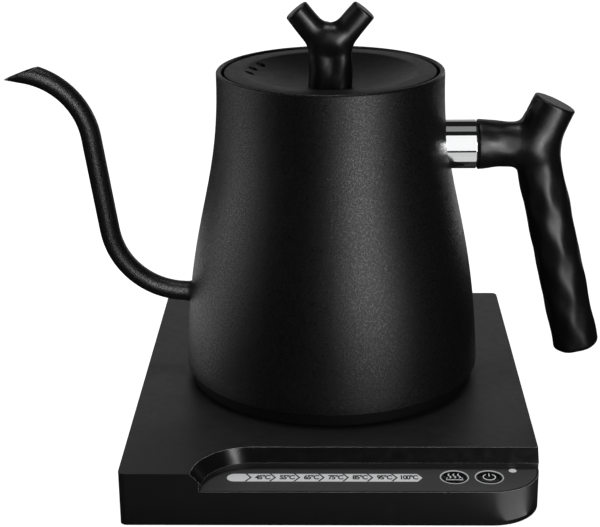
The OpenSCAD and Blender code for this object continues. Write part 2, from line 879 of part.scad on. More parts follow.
module lid_plate() {
    color("#b4b6b8") difference() {
        translate([0, 0, ledge_z + 0.2]) cylinder(r = lid_wall_r[0] - running_gap, h = lid_plate_t);
        for (a = [0:30:330]) rotate([0, 0, a]) translate([vent_ring_r, 0, ledge_z])
            cylinder(r = vent_r, h = 2 * lid_plate_t);
    }
}

module knob() {
    color("#171718") difference() {
        union() {
            for (s = [-1, 1]) {
                translate([s * knob_stem_x, 0, dish_z])
                    cylinder(r = knob_stem_r, h = knob_fork_z + 3 - dish_z);
                translate([0, 0, knob_fork_z]) rotate([0, s * prong_lean, 0]) {
                    cylinder(r = prong_d / 2, h = prong_l - 1);
                    translate([0, 0, prong_l - 1])
                        cylinder(r1 = prong_d / 2, r2 = prong_d / 2 - 1, h = 1);
                }
            }
        }
        translate([0, 0, dish_z - bite]) cylinder(r = knob_screw_r, h = knob_fork_z - dish_z - 2);
    }
}

module knob_washer() {
    color("#b8b8bc") ring(washer_r, knob_screw_r + slop, dish_z - lid_t - washer_t, washer_t);
}

module knob_screw() {
    color("#b8b8bc") translate([0, 0, dish_z - lid_t - washer_t]) {
        cylinder(r = knob_screw_r - running_gap, h = knob_screw_l);
        translate([0, 0, -screw_head_h]) cylinder(r = 2 * knob_screw_r, h = screw_head_h);
    }
}

top_housing();
bottom_cover();
rubber_feet();
cover_screws();
control_panel();
temperature_strip();
button_rings();
indicator_lens();
warm_button();
warm_plunger();
power_button();
power_plunger();
control_board();
board_leds();
tact_switches();
power_board();
relay();
transformer();
filter_capacitor();
cord_gland();
connector_base();
ring_contact();
centre_pin();
contact_carousel();
jug_body();
jug_skirt();
skirt_screws();
heating_plate();
heat_spreader();
heating_element();
thermal_sensor();
sensor_seal();
jug_socket();
socket_contacts();
spout();
handle_bracket();
handle_stud();
handle_ferrule();
ferrule_seal();
handle_grip();
lid_cover();
lid_skirt();
lid_gasket();
lid_plate();
knob();
knob_screw();
knob_washer();
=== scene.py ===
# Electric gooseneck kettle on its power base: the looks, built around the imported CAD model.
# Lengths are in metres. The frame is the CAD's: origin on the table under the round connector,
# +X to the handle, -Y to the control panel, +Z up.
import json
import math

import bmesh
import bpy
import numpy as np
from mathutils import Matrix, Vector


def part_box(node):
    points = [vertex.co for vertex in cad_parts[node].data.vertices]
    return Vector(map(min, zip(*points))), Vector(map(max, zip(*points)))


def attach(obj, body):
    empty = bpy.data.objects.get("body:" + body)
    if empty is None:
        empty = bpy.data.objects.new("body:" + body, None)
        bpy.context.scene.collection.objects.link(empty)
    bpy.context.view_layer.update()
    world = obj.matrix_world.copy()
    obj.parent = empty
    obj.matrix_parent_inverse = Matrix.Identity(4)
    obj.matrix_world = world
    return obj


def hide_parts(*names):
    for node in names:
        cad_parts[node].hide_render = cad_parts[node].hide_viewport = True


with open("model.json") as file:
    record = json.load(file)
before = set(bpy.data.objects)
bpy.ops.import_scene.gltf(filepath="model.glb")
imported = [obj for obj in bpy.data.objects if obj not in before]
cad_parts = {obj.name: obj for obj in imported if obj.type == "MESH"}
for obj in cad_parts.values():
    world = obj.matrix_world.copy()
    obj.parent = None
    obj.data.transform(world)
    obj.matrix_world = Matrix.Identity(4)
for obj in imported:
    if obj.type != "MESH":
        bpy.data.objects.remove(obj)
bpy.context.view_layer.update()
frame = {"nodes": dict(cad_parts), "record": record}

MM = 0.001
NODES = frame["nodes"]


# ---------------------------------------------------------------- sizes, from the frame

JUG_LOW, JUG_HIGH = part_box("jug_body")
FOOT_R, FOOT_Z, RIM_Z = JUG_HIGH.x, JUG_LOW.z, JUG_HIGH.z
RIM_R = 53.8 * MM
JUG_WALL = 1.2 * MM
MOUTH_R = 51.3 * MM
LEDGE_R = 48.3 * MM
LEDGE_Z = RIM_Z - 14.2 * MM

PANEL_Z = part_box("control_panel")[1].z
LID_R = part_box("lid_cover")[1].x
LID_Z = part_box("lid_cover")[1].z
DISH_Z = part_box("knob")[0].z
LID_T = 1.5 * MM
ARM_Z = (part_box("handle_ferrule")[0].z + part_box("handle_ferrule")[1].z) / 2
ARM_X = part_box("ferrule_seal")[0].x
FERRULE_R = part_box("handle_ferrule")[1].y


def curve_point(c, t):
    """A point of a cubic curve."""
    w = ((1 - t) ** 3, 3 * (1 - t) ** 2 * t, 3 * (1 - t) * t * t, t ** 3)
    return tuple(sum(k * p[i] for k, p in zip(w, c)) for i in range(2))


# The jug's side: it leaves the foot almost upright and comes upright to the rim, as in the CAD
SIDE = [(FOOT_R, FOOT_Z), (FOOT_R - 2.9 * MM, FOOT_Z + 75 * MM),
        (RIM_R, RIM_Z - 59 * MM), (RIM_R, RIM_Z - 5.2 * MM)]
SIDE_POINTS = [curve_point(SIDE, i / 90) for i in range(91)]


def jug_radius(z):
    """The radius of the jug's side at a height."""
    return float(np.interp(z, [p[1] for p in SIDE_POINTS], [p[0] for p in SIDE_POINTS]))


# ---------------------------------------------------------------- materials

def new_material(name):
    """A material, its node tree and its main shader."""
    mat = bpy.data.materials.new(name)
    mat.use_nodes = True
    tree = mat.node_tree
    return mat, tree, tree.nodes["Principled BSDF"]


def add(tree, kind, **values):
    """A node with its properties and unlinked inputs set."""
    node = tree.nodes.new(kind)
    for key, value in values.items():
        if key in node.inputs:
            node.inputs[key].default_value = value
        else:
            setattr(node, key, value)
    return node


def noise(tree, size, detail=2.0, stretch=(1, 1, 1)):
    """A noise whose lumps are about size across, in the piece's own frame."""
    place = add(tree, "ShaderNodeTexCoord")
    scale = add(tree, "ShaderNodeMapping", Scale=stretch)
    tex = add(tree, "ShaderNodeTexNoise", Scale=1 / size, Detail=detail)
    tree.links.new(place.outputs["Object"], scale.inputs["Vector"])
    tree.links.new(scale.outputs["Vector"], tex.inputs["Vector"])
    return tex


def cells(tree, size):
    """A random value for each of many small cells."""
    place = add(tree, "ShaderNodeTexCoord")
    tex = add(tree, "ShaderNodeTexVoronoi", Scale=1 / size)
    tree.links.new(place.outputs["Object"], tex.inputs["Vector"])
    return tex.outputs["Color"]


def spread(tree, source, low, high):
    """Maps a noise to low..high over the range that noise mostly covers."""
    ramp = add(tree, "ShaderNodeMapRange")
    for key, value in (("From Min", 0.25), ("From Max", 0.75), ("To Min", low), ("To Max", high)):
        ramp.inputs[key].default_value = value
    tree.links.new(source, ramp.inputs["Value"])
    return ramp.outputs["Result"]


def tinted(tree, shader, color, change, size, stretch=(1, 1, 1)):
    """The base colour, varied a little by a broad noise."""
    mix = add(tree, "ShaderNodeMix", data_type="RGBA")
    mix.inputs["A"].default_value = (*[c * (1 - change) for c in color], 1)
    mix.inputs["B"].default_value = (*[min(1, c * (1 + change)) for c in color], 1)
    tree.links.new(noise(tree, size, 3, stretch).outputs["Fac"], mix.inputs["Factor"])
    tree.links.new(mix.outputs["Result"], shader.inputs["Base Color"])


def bumps(tree, shader, layers):
    """Bump from several noises: (size, height, strength, stretch)."""
    normal = None
    for size, height, strength, stretch in layers:
        bump = add(tree, "ShaderNodeBump", Strength=strength, Distance=height)
        tree.links.new(noise(tree, size, 3, stretch).outputs["Fac"], bump.inputs["Height"])
        if normal:
            tree.links.new(normal, bump.inputs["Normal"])
        normal = bump.outputs["Normal"]
    tree.links.new(normal, shader.inputs["Normal"])


EVEN = (1, 1, 1)


def surface(name, color, rough, metal=0.0, change=0.12, patch=8 * MM, rough_change=0.05, layers=(),
            coat=0.0, specular=0.5, stretch=EVEN, grain=None):
    """A material with varied colour and roughness, and bump at the sizes given.

    The roughness changes in broad patches, or from grain to grain."""
    mat, tree, shader = new_material(name)
    shader.inputs["Metallic"].default_value = metal
    shader.inputs["Specular IOR Level"].default_value = specular
    shader.inputs["Coat Weight"].default_value = coat
    shader.inputs["Coat Roughness"].default_value = 0.08
    tinted(tree, shader, color, change, patch, stretch)
    source = cells(tree, grain) if grain else noise(tree, patch / 3, 4, stretch).outputs["Fac"]
    tree.links.new(spread(tree, source, rough - rough_change, rough + rough_change),
                   shader.inputs["Roughness"])
    if layers:
        bumps(tree, shader, layers)
    return mat


def powder_coat():
    """Fine-textured black powder coat: a close grain that glitters where light grazes it."""
    return surface("powder_coat", (0.0050, 0.0050, 0.0049), 0.35, change=0.2, patch=14 * MM,
                   rough_change=0.1, grain=0.4 * MM,
                   layers=[(0.5 * MM, 0.12 * MM, 1.0, EVEN), (0.3 * MM, 0.07 * MM, 0.9, EVEN)])


def satin_coat():
    """The same black on the lid, finer and duller."""
    return surface("satin_coat", (0.0045, 0.0045, 0.0044), 0.44, change=0.15, patch=10 * MM,
                   specular=0.3, layers=[(0.5 * MM, 0.03 * MM, 0.6, EVEN)])


def branch_black():
    """Satin black on carved wood: a faint grain along the limb."""
    return surface("branch_black", (0.0040, 0.0040, 0.0039), 0.35, change=0.25, patch=5 * MM,
                   rough_change=0.05, specular=0.6,
                   layers=[(2.2 * MM, 0.05 * MM, 0.35, (1, 1, 0.25)), (0.5 * MM, 0.012 * MM, 0.4, EVEN)])


def moulded(name, color, rough, size=0.45 * MM):
    """Moulded plastic with a fine spark-eroded texture."""
    return surface(name, color, rough, change=0.12, patch=12 * MM,
                   layers=[(size, 0.012 * MM, 0.5, EVEN)])


def brushed(name, color, rough, along=(0.03, 1, 1)):
    """Metal with fine lines drawn one way."""
    return surface(name, color, rough, metal=1.0, change=0.08, patch=2 * MM, stretch=along,
                   layers=[(0.35 * MM, 0.01 * MM, 0.5, along)])


def polished(name, color, rough=0.045):
    """Polished plate, with the faint haze and waviness of real chrome."""
    return surface(name, color, rough, metal=1.0, change=0.02, patch=10 * MM, rough_change=0.02,
                   layers=[(6 * MM, 0.01 * MM, 0.25, EVEN)])


def board_mask():
    """Solder mask with paler copper tracks under it."""
    mat, tree, shader = new_material("board_mask")
    place = add(tree, "ShaderNodeTexCoord")
    tracks = add(tree, "ShaderNodeTexBrick", Scale=1.0, offset=0.37)
    tracks.inputs["Color1"].default_value = (0.012, 0.09, 0.04, 1)
    tracks.inputs["Color2"].default_value = (0.016, 0.12, 0.055, 1)
    tracks.inputs["Mortar"].default_value = (0.05, 0.22, 0.1, 1)
    tracks.inputs["Mortar Size"].default_value = 0.25 * MM
    tracks.inputs["Brick Width"].default_value = 7 * MM
    tracks.inputs["Row Height"].default_value = 2.2 * MM
    tree.links.new(place.outputs["Object"], tracks.inputs["Vector"])
    tree.links.new(tracks.outputs["Color"], shader.inputs["Base Color"])
    tree.links.new(spread(tree, noise(tree, 3 * MM).outputs["Fac"], 0.25, 0.45),
                   shader.inputs["Roughness"])
    bumps(tree, shader, [(1.2 * MM, 0.02 * MM, 0.4, EVEN)])
    return mat


def lamp_and_painted_glow(name, color, glow):
    """Frosted plastic that glows a little: light from behind on the strip and the LEDs, painted
    highlight on the button rings and icons.
    """
    mat = surface(name, color, 0.35, change=0.04, patch=6 * MM,
                  layers=[(0.3 * MM, 0.005 * MM, 0.4, EVEN)])
    shader = mat.node_tree.nodes["Principled BSDF"]
    shader.inputs["Emission Color"].default_value = (*color, 1)
    shader.inputs["Emission Strength"].default_value = glow
    return mat


MATERIALS = {
    "powder_coat": powder_coat(),
    "satin_coat": satin_coat(),
    "branch_black": branch_black(),
    "housing": moulded("housing", (0.0088, 0.0088, 0.0090), 0.42),
    # Black plastic, made darker and far less shiny than the other blacks: partly its own black, partly
    # painted shade under the body
    "skirt": surface("skirt", (0.0030, 0.0030, 0.0030), 0.62, change=0.15, specular=0.16,
                     layers=[(0.6 * MM, 0.02 * MM, 0.5, EVEN)]),
    "cover": moulded("cover", (0.012, 0.012, 0.012), 0.55, 0.8 * MM),
    "panel": moulded("panel", (0.14, 0.14, 0.142), 0.42, 0.3 * MM),
    # The recess's sloping wall: glossier, and darker than the housing, which is painted shade
    "recess_wall_painted_shade": moulded("recess_wall_painted_shade", (0.0045, 0.0045, 0.0047), 0.2),
    # A much lighter colour for the rounded edges round the recess: a painted highlight
    "painted_edge_highlight": moulded("painted_edge_highlight", (0.58, 0.58, 0.585), 0.35, 0.3 * MM),
    # The spout's cut end: a lighter grey that is a painted highlight on the lip
    "spout_cut_painted_highlight": moulded("spout_cut_painted_highlight", (0.15, 0.15, 0.152), 0.3, 0.3 * MM),
    "rubber": moulded("rubber", (0.012, 0.012, 0.012), 0.75, 0.9 * MM),
    "connector": moulded("connector", (0.006, 0.006, 0.006), 0.48),
    "button": surface("button", (0.004, 0.004, 0.0042), 0.14, change=0.1, rough_change=0.03, coat=0.6,
                      layers=[(2 * MM, 0.004 * MM, 0.3, EVEN)]),
    # The buttons' light rings: their glow is painted highlight
    "ring": lamp_and_painted_glow("ring", (0.55, 0.56, 0.57), 0.45),
    "strip": lamp_and_painted_glow("strip", (0.42, 0.425, 0.43), 0.86),
    "print_dark": moulded("print_dark", (0.008, 0.008, 0.009), 0.55),
    # The icons are light print, and their glow is painted highlight
    "light_print_painted_glow": lamp_and_painted_glow("light_print_painted_glow", (0.62, 0.63, 0.64), 0.55),
    "chrome": polished("chrome", (0.86, 0.865, 0.87)),
    "steel": brushed("steel", (0.50, 0.50, 0.51), 0.30),
    "dark_steel": brushed("dark_steel", (0.26, 0.26, 0.27), 0.38, EVEN),
    "aluminium": brushed("aluminium", (0.62, 0.63, 0.64), 0.36),
    "zinc": surface("zinc", (0.55, 0.55, 0.57), 0.32, metal=1.0, change=0.15, patch=1.5 * MM,
                    layers=[(0.6 * MM, 0.01 * MM, 0.4, EVEN)]),
    "brass": surface("brass", (0.60, 0.41, 0.14), 0.28, metal=1.0, change=0.12, patch=3 * MM,
                     layers=[(0.5 * MM, 0.008 * MM, 0.4, EVEN)]),
    "silicone": moulded("silicone", (0.24, 0.05, 0.03), 0.6),
    "gasket": moulded("gasket", (0.09, 0.09, 0.095), 0.6),
    "board": board_mask(),
    "relay": moulded("relay", (0.01, 0.06, 0.18), 0.35),
    "winding": surface("winding", (0.12, 0.07, 0.03), 0.4, change=0.3, patch=2 * MM, stretch=(1, 1, 6),
                       layers=[(0.8 * MM, 0.05 * MM, 0.6, (1, 1, 8))]),
    "film": moulded("film", (0.55, 0.34, 0.02), 0.3),
    "ivory": moulded("ivory", (0.62, 0.58, 0.5), 0.4),
    "led": lamp_and_painted_glow("led", (0.82, 0.8, 0.72), 0.1),
    "switch": moulded("switch", (0.03, 0.03, 0.033), 0.45),
}


# ---------------------------------------------------------------- mesh helpers

# Edges of the CAD's nodes that turn by more degrees than this are rounded
BEVEL_ANGLE = 30
BODIES = frame["record"]["behaviour"]["bodies"]
BODY_OF = {node: body for body, names in BODIES.items() for node in names}


def placed(obj, material, node, hides=()):
    """Gives a piece its material and its node's body, and hides the nodes it replaces."""
    obj.data.materials.clear()
    obj.data.materials.append(MATERIALS[material])
    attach(obj, BODY_OF[node])
    if hides:
        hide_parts(*hides)
    return obj


def piece(name, verts, faces, material, node, hides=(), sharp=35):
    """A piece made of new vertices and faces."""
    mesh = bpy.data.meshes.new(name)
    mesh.from_pydata([tuple(v) for v in verts], [], [tuple(f) for f in faces])
    bm = bmesh.new()
    bm.from_mesh(mesh)
    bmesh.ops.recalc_face_normals(bm, faces=bm.faces)
    bm.to_mesh(mesh)
    bm.free()
    return shown(name, mesh, material, node, hides, sharp)


def shown(name, mesh, material, node, hides=(), sharp=35):
    """A mesh put in the scene as a piece, shaded smooth but for its sharp edges."""
    mesh.shade_smooth()
    mesh.set_sharp_from_angle(angle=math.radians(sharp))
    obj = bpy.data.objects.new(name, mesh)
    bpy.context.scene.collection.objects.link(obj)
    return placed(obj, material, node, hides)


def rounded(corners, steps=5):
    """A closed outline whose corners (x, y, radius) are turned into arcs."""
    out = []
    for i, (x, y, r) in enumerate(corners):
        here = Vector((x, y))
        before = Vector(corners[i - 1][:2]) - here
        after = Vector(corners[(i + 1) % len(corners)][:2]) - here
        if r <= 0 or before.length < 1e-9 or after.length < 1e-9:
            out.append((x, y))
            continue
        half = before.angle(after) / 2
        if half > math.radians(88):
            out.append((x, y))
            continue
        cut = min(r / math.tan(half), before.length * 0.49, after.length * 0.49)
        r = cut * math.tan(half)
        centre = here + (before.normalized() + after.normalized()).normalized() * r / math.sin(half)
        start = here + before.normalized() * cut - centre
        turn = start.angle_signed(here + after.normalized() * cut - centre)
        for k in range(steps + 1):
            a = -turn * k / steps
            out.append((centre.x + start.x * math.cos(a) - start.y * math.sin(a),
                        centre.y + start.x * math.sin(a) + start.y * math.cos(a)))
    return out


def quarter(steps):
    """The angles of a quarter turn, in even steps."""
    return np.linspace(0, math.pi / 2, steps)


def lathe(outline, turns, axis="Z", at=(0, 0, 0)):
    """Turns a closed outline of (radius, height) round an axis. Points on the axis become one vertex."""
    verts, faces, rows = [], [], []
    for r, h in outline:
        if r < 1e-7:
            rows.append([len(verts)] * turns)
            verts.append((0, 0, h))
        else:
            rows.append(list(range(len(verts), len(verts) + turns)))
            verts += [(r * math.cos(2 * math.pi * k / turns), r * math.sin(2 * math.pi * k / turns), h)
                      for k in range(turns)]
    for i, row in enumerate(rows):
        nxt = rows[(i + 1) % len(rows)]
        for k in range(turns):
            face = [row[k], row[(k + 1) % turns], nxt[(k + 1) % turns], nxt[k]]
            face = [v for j, v in enumerate(face) if v != face[j - 1]]
            if len(set(face)) >= 3:
                faces.append(face)
    if axis == "X":
        verts = [(h, a, b) for a, b, h in verts]
    return [(x + at[0], y + at[1], z + at[2]) for x, y, z in verts], faces


def merged(parts):
    """Several (verts, faces) as one."""
    verts, faces = [], []
    for v, f in parts:
        faces += [[i + len(verts) for i in face] for face in f]
        verts += list(v)
    return verts, faces


def refined(name, node, material, width, finish=None):
    """A CAD node's own shape with its edges rounded, as a new piece that stands for it.

    finish takes a face, and whether it is part of a rounded edge, and gives its place in FINISHES."""
    bm = bmesh.new()
    bm.from_mesh(NODES[node].data)
    bmesh.ops.remove_doubles(bm, verts=bm.verts, dist=2e-6)
    bmesh.ops.dissolve_limit(bm, angle_limit=math.radians(0.6), verts=bm.verts, edges=bm.edges)
    edges = [e for e in bm.edges
             if e.is_manifold and e.calc_face_angle() > math.radians(BEVEL_ANGLE)]
    for face in bm.faces:
        face.material_index = finish(face, False) if finish else 0
    if width > 0 and edges:
        bevelled = bmesh.ops.bevel(bm, geom=edges, offset=width, segments=3, profile=0.5,
                                   affect="EDGES", clamp_overlap=True)
        for face in bevelled["faces"]:
            face.material_index = finish(face, True) if finish else 0
    bmesh.ops.triangulate(bm, faces=[f for f in bm.faces if len(f.verts) > 4])
    mesh = bpy.data.meshes.new(name)
    bm.to_mesh(mesh)
    marks = [face.material_index for face in bm.faces]
    bm.free()
    obj = shown(name, mesh, material, node, (node,), sharp=BEVEL_ANGLE + 4)
    obj.modifiers.new("flat_faces", "WEIGHTED_NORMAL").keep_sharp = True
    if finish:
        for other in FINISHES[1:]:
            obj.data.materials.append(MATERIALS[other])
        obj.data.polygons.foreach_set("material_index", marks)


def applied(obj):
    """Replaces a piece's mesh by what its modifiers make of it."""
    bpy.context.view_layer.update()
    graph = bpy.context.evaluated_depsgraph_get()
    mesh = bpy.data.meshes.new_from_object(obj.evaluated_get(graph), depsgraph=graph)
    obj.modifiers.clear()
    obj.data = mesh


def drilled(obj, verts, faces):
    """Cuts a closed shape out of a piece."""
    mesh = bpy.data.meshes.new("drill")
    mesh.from_pydata(verts, [], faces)
    drill = bpy.data.objects.new("drill", mesh)
    bpy.context.scene.collection.objects.link(drill)
    cut = obj.modifiers.new("drill", "BOOLEAN")
    cut.object, cut.operation, cut.solver = drill, "DIFFERENCE", "EXACT"
    applied(obj)
    bpy.data.objects.remove(drill)


# ---------------------------------------------------------------- blended solids, for the branches

def capsule(p, a, b, ra, rb, edge, swell=0.0):
    """Distance to a limb from a to b whose radius goes from ra to rb: round at a, cut flat at b."""
    a, b = np.array(a), np.array(b)
    axis = b - a
    length = np.linalg.norm(axis)
    axis = axis / length
    s = (p - a) @ axis
    t = np.clip(s / length, 0, 1)
    radial = np.linalg.norm(p - a - np.maximum(s, 0)[..., None] * axis, axis=-1)
    side = radial - (ra + (rb - ra) * t) - swell
    over = s - length
    corner = np.hypot(np.maximum(side + edge, 0), np.maximum(over + edge, 0)) - edge
    return np.minimum(np.maximum(side + edge, over + edge), 0) + corner


def blend_min(a, b, k):
    """Two distances joined into one solid, with a fillet of about k between them."""
    h = np.clip(0.5 + 0.5 * (b - a) / k, 0, 1)
    return b + (a - b) * h - k * h * (1 - h)


def surface_of(field, low, high, step):
    """The zero surface of a distance field: one vertex in each crossed cell, moved onto the surface."""
    axes = [np.arange(l, h + step, step) for l, h in zip(low, high)]
    grid = np.stack(np.meshgrid(*axes, indexing="ij"), -1)
    d = field(grid)
    inside = d < 0
    corners = [(i, j, k) for i in (0, 1) for j in (0, 1) for k in (0, 1)]
    size = tuple(n - 1 for n in d.shape)

    def part(array, c):
        """The array as seen from one corner of every cell."""
        return array[c[0]:c[0] + size[0], c[1]:c[1] + size[1], c[2]:c[2] + size[2]]

    # The mean of the points where the surface crosses a cell's edges
    count, total = np.zeros(size), np.zeros((*size, 3))
    for a in corners:
        for axis in range(3):
            if a[axis]:
                continue
            b = tuple(1 if i == axis else v for i, v in enumerate(a))
            da, db = part(d, a), part(d, b)
            crossed = part(inside, a) != part(inside, b)
            t = np.where(crossed, da / np.where(crossed, da - db, 1), 0)
            point = part(grid, a) + (part(grid, b) - part(grid, a)) * t[..., None]
            total += np.where(crossed[..., None], point, 0)
            count += crossed
    cells = count > 0
    number = -np.ones(size, int)
    number[cells] = np.arange(cells.sum())
    verts = total[cells] / count[cells][:, None]
    # A face round each grid edge that the surface crosses, between the four cells that share it
    faces = []
    for axis in range(3):
        u, v = [i for i in range(3) if i != axis]
        near = [slice(1, -1)] * 3
        far = [slice(1, -1)] * 3
        near[axis], far[axis] = slice(0, -1), slice(1, None)
        crossed = inside[tuple(near)] != inside[tuple(far)]
        flip = inside[tuple(near)][crossed] ^ (axis == 1)
        at = np.argwhere(crossed)
        at[:, u] += 1
        at[:, v] += 1
        around = []
        for du, dv in ((-1, -1), (0, -1), (0, 0), (-1, 0)):
            cell = at.copy()
            cell[:, u] += du
            cell[:, v] += dv
            around.append(number[cell[:, 0], cell[:, 1], cell[:, 2]])
        quads = np.stack(around, 1)
        quads[~flip] = quads[~flip][:, ::-1]
        faces += quads.tolist()
    # Newton steps that bring the vertices onto the surface
    small = step * 0.05
    for _ in range(3):
        here = field(verts)
        slope = np.stack([field(verts + small * np.eye(3)[i]) - here for i in range(3)], -1) / small
        verts = verts - slope * (here / np.maximum((slope ** 2).sum(-1), 0.25))[:, None]
    return verts, faces


def whittled(p, a, b, waves):
    """Soft hollows and swells left by the knife, from a to b.

    A wave is (height, faces round the limb, pitch along it, phase)."""
    a, b = np.array(a), np.array(b)
    axis = (b - a) / np.linalg.norm(b - a)
    across = np.array((0.0, -1.0, 0.0))
    up = np.cross(axis, across)
    s = (p - a) @ axis
    turn = np.arctan2((p - a) @ up, (p - a) @ across)
    return sum(height * np.sin(n * turn + 2 * math.pi * s / pitch + phase)
               for height, n, pitch, phase in waves)


# ---------------------------------------------------------------- jug

SPOUT_AT = (-66 * MM, 66.5 * MM)
SPOUT_R = 4.85 * MM
SPOUT_BORE_R = 4.05 * MM
LIP_R = 1.25 * MM


def build_jug():
    """The steel body with its rolled lip and the bore for the spout."""
    side = SIDE_POINTS
    lip = [(RIM_R, RIM_Z - 0.9 * MM)]
    lip += [(RIM_R - LIP_R + LIP_R * math.cos(a), RIM_Z - LIP_R + LIP_R * math.sin(a))
            for a in np.linspace(0.2, math.pi - 0.4, 9)]
    inside = [(MOUTH_R, RIM_Z - 2.2 * MM), (MOUTH_R, LEDGE_Z), (LEDGE_R + 0.3 * MM, LEDGE_Z),
              (LEDGE_R, LEDGE_Z - 0.4 * MM), (LEDGE_R, LEDGE_Z - 1.5 * MM)]
    inside += [(r - JUG_WALL, z) for r, z in side[::-3] if z < LEDGE_Z - 5 * MM]
    foot = [(FOOT_R - JUG_WALL, FOOT_Z + 0.2 * MM), (FOOT_R - JUG_WALL + 0.3 * MM, FOOT_Z),
            (FOOT_R - 0.5 * MM, FOOT_Z), (FOOT_R - 0.15 * MM, FOOT_Z + 0.15 * MM)]
    verts, faces = lathe(foot + side[1:] + lip + inside, turns=224)
    shell = piece("jug_shell", verts, faces, "powder_coat", "jug_body", ("jug_body",), sharp=40)
    start, end = -SPOUT_AT[0] - 12 * MM, -SPOUT_AT[0] + JUG_WALL
    outline = [(0, start), (SPOUT_BORE_R, start), (SPOUT_BORE_R, end), (0, end)]
    verts, faces = lathe(outline, turns=48, axis="X")
    drilled(shell, [(-x, y, z + SPOUT_AT[1]) for x, y, z in verts], faces)
    shell.data.set_sharp_from_angle(angle=math.radians(40))


def build_skirt():
    """The plastic ring under the body, with the web that holds the jug's half of the connector."""
    low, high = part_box("jug_skirt")
    r, t = high.x, 2.2 * MM
    web, web_t = 29.3 * MM, 2.0 * MM
    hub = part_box("jug_socket")[1].x - 3.9 * MM
    outline = rounded([
        (r, low.z, 0.6 * MM), (r, high.z, 0), (r - t, high.z, 0), (r - t, web + web_t, 0.6 * MM),
        (hub, web + web_t, 0.3 * MM), (hub, web, 0.3 * MM), (r - t, web, 0.8 * MM),
        (r - t, low.z, 0.5 * MM)
    ])
    verts, faces = lathe(outline, turns=192)
    # Its darker, duller black is partly painted shade under the body
    piece("skirt_ring", verts, faces, "skirt", "jug_skirt", ("jug_skirt",), sharp=40)


# ---------------------------------------------------------------- spout

# The gooseneck's course: nearly level out of the jug, up into the neck, and out again at the tip
BEND_R = 37 * MM
START_RISE = math.radians(4)
COURSE = ((8 * MM, 0), (0, 78), (47 * MM, 0), (0, -71), (22 * MM, 0))
CUT_AT, CUT_FALL = (-139 * MM, 179.4 * MM), math.radians(20.5)
CUT_EDGE = 0.1 * MM
FLARE, FLARE_RUN = 0.75 * MM, 0.8 * MM


def along_bend(x, z, rise, bend, length):
    """Where the axis has got to, and its rise, after a length of even curvature."""
    if not bend:
        return x - length * math.cos(rise), z + length * math.sin(rise), rise
    end = rise + bend * length
    return x - (math.sin(end) - math.sin(rise)) / bend, z + (math.cos(rise) - math.cos(end)) / bend, end


def spout_stretches():
    """The stretches of the axis as (length, start, curvature): a start is x, z and rise.

    The course gives each one a length, or else the degrees that it bends through."""
    out = []
    x, z, rise = *SPOUT_AT, START_RISE
    for length, turn in COURSE:
        bend = math.copysign(1 / BEND_R, turn) if turn else 0
        length = length or BEND_R * math.radians(abs(turn))
        out.append((length, (x, z, rise), bend))
        x, z, rise = along_bend(x, z, rise, bend, length)
    return out


STRETCHES = spout_stretches()
SPOUT_L = sum(part[0] for part in STRETCHES)


def spout_point(length, r, a):
    """A point of the tube's skin: so far along it, at radius r and angle a."""
    for part, (x, z, rise), bend in STRETCHES:
        if length <= part:
            break
        length -= part
    else:
        length += part
    x, z, rise = along_bend(x, z, rise, bend, length)
    return (x + r * math.cos(a) * math.sin(rise), r * math.sin(a), z + r * math.cos(a) * math.cos(rise))


def cut_length(r, a):
    """Where a line along the skin meets the sloping cut, by halving."""
    low, high = SPOUT_L - 70 * MM, SPOUT_L
    for _ in range(20):
        mid = (low + high) / 2
        x, _, z = spout_point(mid, r, a)
        before = (x - CUT_AT[0]) * math.sin(CUT_FALL) + (CUT_AT[1] - z) * math.cos(CUT_FALL) > 0
        low, high = (mid, high) if before else (low, mid)
    return low


def build_spout():
    """The tube: its outer skin flares where it meets the jug, and both skins end in the sloping cut.

    The first rings are square to the axis, and the last ones lean over to the cut."""
    sides, rings, lean, flared = 64, 150, 14, 20
    square = cut_length(SPOUT_R, 0) - 1 * MM
    verts = []
    for skin_r in (SPOUT_R, SPOUT_BORE_R):
        outer = skin_r == SPOUT_R
        for i in range(rings + lean + 2):
            for k in range(sides):
                a = 2 * math.pi * k / sides
                if i <= rings:
                    length = square * i / rings
                else:
                    end = cut_length(skin_r, a) - CUT_EDGE * 2
                    length = square + (end - square) * min(1, (i - rings) / lean)
                r = skin_r
                if i == rings + lean + 1:
                    length += CUT_EDGE * 1.6
                    r += -CUT_EDGE if outer else CUT_EDGE
                x, y, z = spout_point(length, r, a)
                run = max(0.0, math.hypot(x, y) - jug_radius(z) + 0.4 * MM)
                if outer and i < flared:
                    r += FLARE * math.exp(-run / FLARE_RUN)
                    x, y, z = spout_point(length, r, a)
                verts.append((x, y, z))
    n_rings = rings + lean + 2
    faces = []
    for skin in (0, 1):
        for i in range(n_rings - 1):
            for k in range(sides):
                c = (skin * n_rings + i) * sides
                n = (k + 1) % sides
                faces.append((c + k, c + n, c + sides + n, c + sides + k))
    for i in (0, n_rings - 1):
        for k in range(sides):
            n = (k + 1) % sides
            c, d = i * sides, (n_rings + i) * sides
            faces.append((c + k, c + n, d + n, d + k))
    tube = piece("spout_tube", verts, faces, "powder_coat", "spout", ("spout",), sharp=50)
    tube.data.materials.append(MATERIALS["spout_cut_painted_highlight"])
    # The last faces made are the ones that close the cut end. Their lighter colour is a painted
    # highlight on the lip.
    for face in tube.data.polygons[-sides:]:
        face.material_index = 1


# ---------------------------------------------------------------- handle

JOINT = (97 * MM, 0, ARM_Z)
LIMB_R = 10.7 * MM
ARM_ROOT_R, GRIP_END_R, STUB_END_R = 12.0 * MM, 11.1 * MM, 10.4 * MM
WAIST_L, WAIST_DEPTH = 26 * MM, 0.55 * MM


def from_joint(length, lean):
    """A point of the handle: so far from its joint, in a direction that leans out from upright."""
    return JOINT[0] + length * math.sin(lean), 0, JOINT[2] + length * math.cos(lean)


